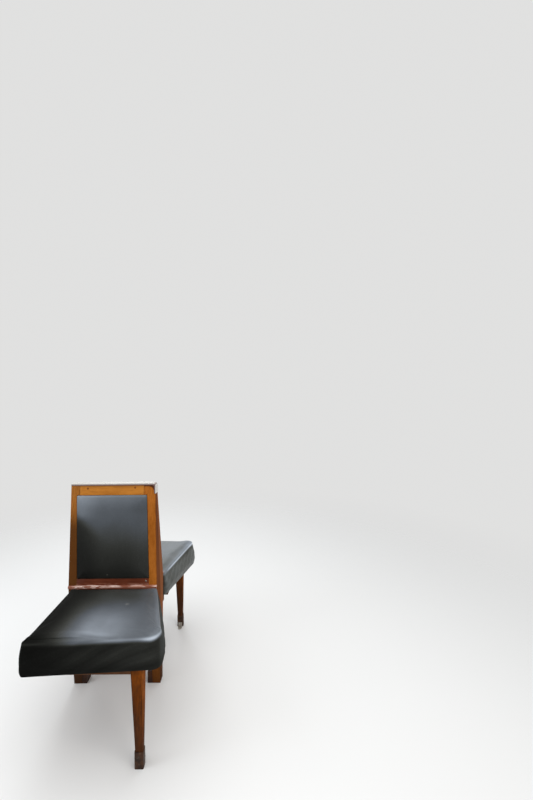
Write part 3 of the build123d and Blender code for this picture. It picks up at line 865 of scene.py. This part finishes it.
def swell(piece, held, pressure, most, slack=0.0):
    """Blows a closed cover up against its held points, each point moving no further than most."""
    frames = 20
    start = corners_of(piece.data)
    pins = piece.vertex_groups.new(name="held")
    for share in np.unique(np.round(held, 2)):
        if share > 0:
            pins.add(np.flatnonzero(np.round(held, 2) == share).tolist(), float(share), "REPLACE")
    cloth = piece.modifiers.new("cover", "CLOTH")
    settings = cloth.settings
    settings.quality = 6
    settings.mass = 0.35
    settings.tension_stiffness = settings.compression_stiffness = 18
    settings.shear_stiffness = 8
    settings.bending_stiffness = 0.6
    settings.shrink_min = settings.shrink_max = -slack
    settings.vertex_group_mass = "held"
    settings.use_pressure = True
    settings.uniform_pressure_force = pressure
    settings.effector_weights.gravity = 0
    cloth.point_cache.frame_start, cloth.point_cache.frame_end = 1, frames
    for number in range(1, frames + 1):
        bpy.context.scene.frame_set(number)
    blown = as_plain_mesh(piece)
    moved = corners_of(blown) - start
    length = np.linalg.norm(moved, axis=1, keepdims=True) + 1e-9
    piece.modifiers.remove(cloth)
    piece.vertex_groups.remove(pins)
    bpy.data.meshes.remove(blown)
    bpy.context.scene.frame_set(1)
    settle(piece, start + moved / length * most * np.tanh(length / most))


def refine(piece):
    """Subdivides a cover once and makes the result its mesh."""
    smooth = piece.modifiers.new("smooth", "SUBSURF")
    smooth.levels = smooth.render_levels = 1
    finer = as_plain_mesh(piece)
    piece.modifiers.remove(smooth)
    finer.name = piece.name
    piece.data = finer
    finer.shade_smooth()


def bump_at(distance, width):
    """A smooth bump of height 1 at distance 0."""
    return np.exp(-((np.asarray(distance) / width) ** 2))


def step_at(value, low, high):
    """A smooth step of an array between two limits."""
    share = np.clip((value - low) / (high - low), 0, 1)
    return share * share * (3 - 2 * share)


def unevenness(points, scale, seed):
    """Soft noise over points, stretched by a scale for each axis."""
    return np.array([noise.noise(Vector((x * scale[0], y * scale[1], z * scale[2] + seed))) for x, y, z in points])


# the opening in the frame, in the plane of the raked face: X and the way up the slope
pad_across, pad_along = 46, 52
opening_corners = ((-0.197, 0.0422), (0.1069, 0.0422), (0.0942, 0.3862), (-0.207, 0.3862))
pad_corners = []
for x, up in opening_corners:
    reach = pad_gap + pad_corner
    pad_corners.append((x + (reach if x < 0 else -reach), up + (reach if up < 0.2 else -reach), pad_corner))
pad_points, pad_normals = edge_line(pad_corners, (pad_across, pad_along) * 2)


def on_face(flat, height):
    """Points of the raked face's plane, raised from it, in metres."""
    flat = np.asarray(flat)
    raised = np.asarray(height)[..., None] * np.array(out_of_face)
    return np.array(face_origin) + flat[..., :1] * np.array((1, 0, 0)) + flat[..., 1:2] * np.array(up_face) + raised


# the cover's section, from its back to its front: how far in from the edge, and out of the raked face
pad_section = (
    (0.0030, -0.0126), (0.0018, -0.0124), (0.0015, -0.0110), (0.0011, -0.0075), (0.0005, -0.0040),
    (0.0001, -0.0014), (0.0003, 0.0004), (0.0014, 0.0017), (0.0034, 0.0026),
)
tucked_rings, pad_crown = 7, 0.0030
rings = [on_face(pad_points - pad_normals * inset, height) for inset, height in pad_section]
pad_back, pad_front = (
    infill(pad_points - pad_normals * inset, pad_across, pad_along) for inset, _ in (pad_section[0], pad_section[-1])
)
pad_ends = on_face(pad_back, pad_section[0][1]), on_face(pad_front, pad_crown)
pad_blank = cover("pad_blank", rings, pad_ends, pad_across, pad_along)
held = np.ones(len(pad_blank.data.vertices))
held[len(pad_points) * tucked_rings : len(pad_points) * len(rings)] = 0.0
held[-(pad_across - 1) * (pad_along - 1) :] = 0.0
swell(pad_blank, held, pressure=3.0, most=0.007)
refine(pad_blank)


def backrest_painted_light(points):
    """How pale the pads are painted: a painted highlight growing toward the top, painted shade toward the bottom, a
    painted cast shadow across the wall side with painted light above it, and a small change toward the aisle.
    """
    x, _, z = points.T
    level = 36 + 72 * (z - opening_foot) + 30 * step_at(z, 0.54, 0.74) + 24 * step_at(z, 0.74, 0.84)
    shaded = step_at(z, 0.748 - 0.75 * (x + 0.19), 0.682 - 0.75 * (x + 0.19))
    level = level * (1 - (0.56 - 0.56 * step_at(x, -0.195, -0.07)) * shaded)
    level = level + 26 * step_at(x, -0.08, -0.19) * step_at(z, 0.70, 0.745)
    return level + step_at(x, 0.0, 0.085) * (9 - 20 * step_at(z, 0.66, 0.78))


for row, (end, side) in enumerate((("front", -1), ("rear", 1))):
    pad = into_scene(f"{end}_pad_cover", pad_blank.data.copy())
    points = corners_of(pad.data)
    proud = (points - np.array(face_origin)) @ np.array(out_of_face)
    ripple = 0.0009 * unevenness(points, (9, 9, 14), 3.1 + row) + 0.0004 * unevenness(points, (34, 34, 22), 7.7 + row)
    points += np.outer(ripple * step_at(proud, 0.0005, 0.0030), np.array(out_of_face))
    store_levels(pad, backrest_painted_light(points))
    settle(pad, points, side)
    cloth, hide, grey = leather(f"leathercloth of the {end} pad", (0.2 * row, 0.4, 0.1), 0.10)
    # painted highlight along the pad's top edge
    cloth.tint(ramp(cloth.z, opening_top - 0.012, opening_top - 0.004), 0.25, tone(150, 155, 160))
    speckle(cloth, hide, grey, 0.035)
    nick = times(spot_at(cloth, (-0.068, side * 0.0555, 0.4880), 0.0055, 0.0025), uneven(cloth, 300.0, 0.44, 0.60))
    cloth.tint(nick, 0.5, tone(116, 114, 106))
    gloss = ramp(hide["Patches"], 0.3, 0.7, 0.42, 0.56)
    upholster(pad, cloth.done(Specular_IOR_Level=0.09, Roughness=gloss), f"{end}_back_pad")
bpy.data.objects.remove(pad_blank)

# The cushions: foam on a plywood board under the same leathercloth, boxed at the wall and rounded
# at the aisle. The cover is drawn down the sides, which bulge, and tucked under the board in folds.
cushion_across, cushion_along = 60, 50
board_top, hem_height, back_crest = 0.3504, 0.3380, 0.4375
back_line, front_line = -0.067, -0.431
side_round, side_rings, round_rings, half_held_rings = 0.0105, 13, 5, 2
# the hem's section, from the board down and round the edge: how far in from its line, and the height
hem_section = (
    (0.0038, board_top), (0.0038, 0.3440), (0.0038, hem_height),
    (0.0034, 0.3348), (0.0025, 0.3340), (0.0012, 0.3345), (0.0004, 0.3368),
)
wall_back, aisle_back = (-0.2045, -0.08507, 0.018), (0.136, -0.08507, 0.018)


def at_height(points, height):
    """Plan points with a height."""
    return np.concatenate([points, np.broadcast_to(height, points.shape[:-1])[..., None]], axis=-1)


def crest(points, front_crest):
    """Height of a cushion's top above points of its plan, before it is blown up."""
    share = (points[..., 1] - back_line) / (front_line - back_line)
    return back_crest + (front_crest - back_crest) * share


def cushion_blank(name, front_crest, hem_corners, crest_corners, front_round):
    """A cushion's cover, blown up; gives it with the outline of its top."""
    hem_line, hem_out = edge_line(hem_corners, (cushion_across, cushion_along) * 2)
    crest_line, crest_out = edge_line(crest_corners, (cushion_across, cushion_along) * 2)
    at_back = step_at(crest_out[:, 1], 0.2, 0.9)
    edge_round = side_round + (front_round - side_round) * step_at(-crest_out[:, 1], 0.2, 0.9) - 0.0035 * at_back
    bulge = 0.0055 * np.clip(hem_out[:, 0], 0, 1) ** 1.5 + 0.0030 * np.clip(-hem_out[:, 0], 0, 1)
    bulge = bulge + 0.0015 * (1 - at_back)
    rings = [at_height(hem_line - hem_out * inset, height) for inset, height in hem_section]
    for share in np.linspace(0.08, 1.0, side_rings):
        line = hem_line + (crest_line - hem_line) * share * share * (3 - 2 * share)
        line = line + hem_out * (bulge * math.sin(math.pi * share**0.85) - 0.0015 * share)[:, None]
        rings.append(at_height(line, hem_height + (crest(line, front_crest) - edge_round - hem_height) * share))
    shoulder = crest_line - crest_out * 0.0015
    for angle in np.linspace(0, math.pi / 2, round_rings + 1)[1:]:
        line = shoulder - crest_out * (edge_round * (1 - math.cos(angle)))[:, None]
        rings.append(at_height(line, crest(line, front_crest) - edge_round * (1 - math.sin(angle))))
    plan = infill(shoulder - crest_out * edge_round[:, None], cushion_across, cushion_along)
    ceiling = at_height(infill(rings[0][:, :2], cushion_across, cushion_along), board_top)
    blank = cover(name, rings, (ceiling, at_height(plan, crest(plan, front_crest))), cushion_across, cushion_along)
    held = np.zeros(len(blank.data.vertices))
    hem_end, rings_end = len(hem_line) * len(hem_section), len(hem_line) * len(rings)
    held[:hem_end] = 1.0
    held[hem_end : hem_end + len(hem_line) * half_held_rings] = 0.5
    held[rings_end : rings_end + (cushion_across - 1) * (cushion_along - 1)] = 1.0
    swell(blank, held, pressure=3.5, most=0.007, slack=0.002)
    refine(blank)
    return blank, crest_line


def from_edge(points, crest_line):
    """Distance of points from a cushion's outline, in plan."""
    ends = np.roll(crest_line, -1, axis=0) - crest_line
    nearest = np.full(len(points), 1.0)
    for foot, run in zip(crest_line, ends):
        offset = points[:, :2] - foot
        share = np.clip(offset @ run / (run @ run), 0, 1)
        nearest = np.minimum(nearest, np.hypot(*(offset - share[:, None] * run).T))
    return nearest


def places_on(points, front_crest, crest_line):
    """Where points are: from the front, from the aisle edge, from any edge, and round the top edge."""
    x, y, z = points.T
    inward = y - crest_line[:, 1].min() - (x + 0.206) * 0.0685
    from_aisle = 0.2305 - (y + 0.375) * 0.264 - x
    edge = from_edge(points, crest_line)
    return x, y, z, inward, from_aisle, edge, edge - crest(points, front_crest) + z


def pleats(points, row):
    """Slanted ridges down the aisle side, unevenly spaced and raised, from -0.2 between them to 0.8."""
    _, y, z = points.T
    lean, spacing = ((0.75, 0.032), (1.6, 0.046))[row]
    slant = (-y - lean * (z - 0.44) + 0.011 * unevenness(points, (14, 14, 9), 6.6)) / spacing
    raised = 0.55 + 0.45 * unevenness(points, (22, 22, 8), 8.2)
    return ((1 - np.abs(np.sin(math.pi * slant)) ** 0.8) ** 1.5 - 0.2) * raised


def swept(x, z):
    """Shallow creases that rise across the front toward the aisle, from -1 to 1."""
    return np.sin((x * 0.9 - z * 2.6) * 46 + 1.5 * np.sin(x * 13)) ** 3


def drawn_folds(points, places, row):
    """How far the cover stands out along its normals: the roll at the front, creases and pleats."""
    x, y, z, inward, from_aisle, edge, round_edge = places
    top = step_at(round_edge, 0.004, 0.014)
    crease = 0.0016 * bump_at(inward - 0.021 + 0.010 * step_at(x, -0.06, 0.08) - 0.002 * np.sin(x * 17 + row), 0.0050)
    crease = crease * step_at(x, -0.17, -0.10) * step_at(x, 0.09, 0.0)
    dent = (0.0014, 0.0004)[row] * bump_at(np.hypot((x - 0.02) / 0.12, (y + 0.22) / 0.10), 1.0)
    result = top * ((0.0006, 0.0003)[row] * unevenness(points, (9, 9, 5), 2.3 + 5 * row) - crease - dent)
    result += 0.0008 * bump_at(round_edge - 0.003, 0.006) * step_at(edge, 0.05, 0.02)
    skin = step_at(z, 0.335, 0.342) * step_at(round_edge, -0.010, -0.026)
    on_aisle = step_at(from_aisle, 0.012, 0.002) * step_at(inward, 0.004, 0.030) * step_at(y, -0.072, -0.095)
    result += (0.0016, 0.0026)[row] * skin * on_aisle * pleats(points, row)
    on_front = step_at(inward, 0.010, 0.002) * step_at(from_aisle, 0.015, 0.06)
    result += 0.0009 * skin * on_front * swept(x, z)
    result += 0.0006 * skin * unevenness(points, (26, 26, 12), 9.1 + 3 * row)
    tuck = bump_at(np.hypot(x + 0.224, y + 0.425), 0.026) * bump_at(z - 0.349, 0.012)
    return result + 0.0022 * tuck


def seat_painted_light(points, places, row):
    """The colour value over a cushion's cover: dark cloth, paler on the top, partly greyed cloth and mostly painted
    sheen and reflection, with painted shade toward the wall and the back, painted highlights along the top edge and a
    fold where it is also rubbed pale, and painted light and shade on creases and pleats.
    """
    x, y, z, inward, from_aisle, edge, round_edge = places
    off_wall = step_at(x, -0.19, -0.01)
    well_out = step_at(-y, 0.13, 0.31)
    at_corner = bump_at(np.hypot(x - 0.205, y + 0.392), 0.034)
    if row:
        # rear cushion: painted sheen on the top, with painted shade toward the wall
        top = (54 + 49 * off_wall) * (1 - well_out) + (64 + 56 * off_wall) * well_out
        # its sides: painted light, with painted light and shade on the pleats at the aisle
        skirt = 46 + (46 + 26 * pleats(points, row)) * step_at(from_aisle, 0.012, 0.002)
        gleam = 125 + 80 * step_at(from_aisle, 0.06, 0.02)
    else:
        # front cushion: painted sheen on the top, with painted shade toward the wall, the back and the aisle end of
        # the front
        back = 20 + 36 * off_wall + 22 * step_at(x, 0.06, 0.13)
        front = 10 + 112 * off_wall - 25 * step_at(x, 0.03, 0.15)
        top = back * (1 - well_out) + front * well_out
        # a painted highlight along a fold behind the front edge, painted shade just in front of it, and painted shade
        # along the creases near the middle
        fold = step_at(x, 0.10, 0.02) * off_wall
        line = 0.030 - 0.016 * step_at(x, -0.06, 0.08)
        creased = step_at(x, -0.055, -0.025) * step_at(x, 0.10, 0.065)
        top += 8 * fold * bump_at(inward - line - 0.014, 0.006) - 22 * fold * step_at(inward - line, -0.002, -0.009)
        top -= creased * (18 * bump_at(inward - line, 0.006) + 22 * bump_at(inward - 0.005, 0.005))
        # the front face: painted shade near the wall and toward the floor, and painted light and shade on its creases
        skirt = 6 + 20 * step_at(x, -0.21, 0.0) + 14 * step_at(x, 0.0, 0.19) + 16 * step_at(from_aisle, 0.012, 0.0)
        skirt = skirt * (0.72 + 0.28 * step_at(z, 0.345, 0.385))
        skirt = skirt * (1 + 0.16 * step_at(from_aisle, 0.004, 0.035) * swept(x, z))
        # painted highlight along the front edge, brightest at the aisle corner
        gleam = 34 + 104 * step_at(x, -0.11, 0.10) - 26 * step_at(-y, 0.35, 0.31) * step_at(x, 0.10, 0.14)
        gleam = gleam + 80 * at_corner
    # both cushions: a painted highlight just in from the edge, and a painted highlight strip along the top edge
    top = top + 18 * bump_at(edge - 0.013, 0.010) * step_at(from_aisle, 0.05, 0.03)
    level = skirt + (top - skirt) * step_at(round_edge, (-0.018, -0.014)[row], -0.003)
    strip = bump_at(round_edge + 0.001 + 0.0025 * at_corner, (0.0050, 0.0036)[row] + 0.0030 * at_corner)
    strip = strip * step_at(-y, 0.085, 0.13)
    return level + (np.maximum(gleam, level) - level) * strip


for row, (end, side, front_crest, depth, hem_corner, crest_corner, front_round) in enumerate((
    ("front", -1, 0.446, 0.0, (0.1995, -0.3690, 0.034), (0.1860, -0.3575, 0.046), 0.015),
    ("rear", 1, 0.452, 0.009, (0.2040, -0.3840, 0.027), (0.2050, -0.3860, 0.025), 0.012),
)):
    hem = (aisle_back, wall_back, (-0.2105, -0.419 - depth, 0.012), hem_corner)
    top = ((0.136, -0.0787, 0.018), (-0.2055, -0.0787, 0.018), (-0.2115, -0.419 - depth, 0.012), crest_corner)
    cushion, outline = cushion_blank(f"{end}_cushion_cover", front_crest, hem, top, front_round)
    points = corners_of(cushion.data)
    places = places_on(points, front_crest, outline)
    points += corners_of(cushion.data, "normal") * drawn_folds(points, places, row)[:, None]
    store_levels(cushion, seat_painted_light(points, places_on(points, front_crest, outline), row))
    settle(cushion, points, side)
    cloth, hide, grey = leather(
        f"leathercloth of the {end} cushion", (0.3 * row + 0.1, 0.2, 0.6), 0.14, ((0.020, 0.11), (0.04, 0.32))[row]
    )
    speckle(cloth, hide, grey, 0.04)
    mark = times(spot_at(cloth, (0.062, side * 0.205, 0.444), 0.009, 0.004), uneven(cloth, 260.0, 0.42, 0.56))
    cloth.tint(mark, 0.45, tone(150, 152, 150))
    matt = ramp(grey, 0.003, 0.10, 0.92, 0.36)
    uneven_shine = ramp(hide["Patches"], 0.3, 0.7, 0.0, 0.08)
    material = cloth.done(
        Specular_IOR_Level=0.09, Roughness=arithmetic("ADD", matt, uneven_shine),
        Coat_Weight=ramp(grey, 0.30, 0.62, 0.0, 0.6), Coat_Roughness=0.18,
    )
    upholster(cushion, material, f"{end}_cushion")
